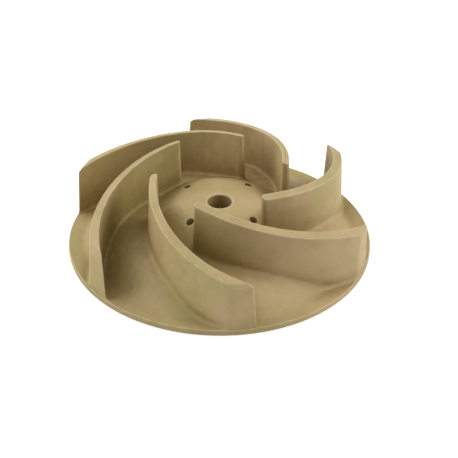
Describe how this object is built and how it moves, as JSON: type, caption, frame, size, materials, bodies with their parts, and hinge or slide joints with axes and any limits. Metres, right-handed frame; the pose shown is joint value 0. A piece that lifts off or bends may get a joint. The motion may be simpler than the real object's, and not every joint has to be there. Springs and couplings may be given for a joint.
{
  "type": "pump impeller",
  "caption": "Semi-open centrifugal pump impeller: a round disc with a domed hub and a central bore, carrying tall curved vanes with sloping tops.",
  "frame": {"origin": "on the bore's axis, at the back face of the disc, where the rim and the end of the sleeve lie", "axes": "+Z along the bore, from the back of the disc towards the eye; X and Y across the disc, with the nearest vane tip about 21 degrees clockwise of +X, seen from the front"},
  "size_m": [0.125, 0.125, 0.0372],
  "materials": {
    "plastic": "matte, as moulded"
  },
  "bodies": {
    "root": {"impeller": "plastic"}
  },
  "joints": []
}
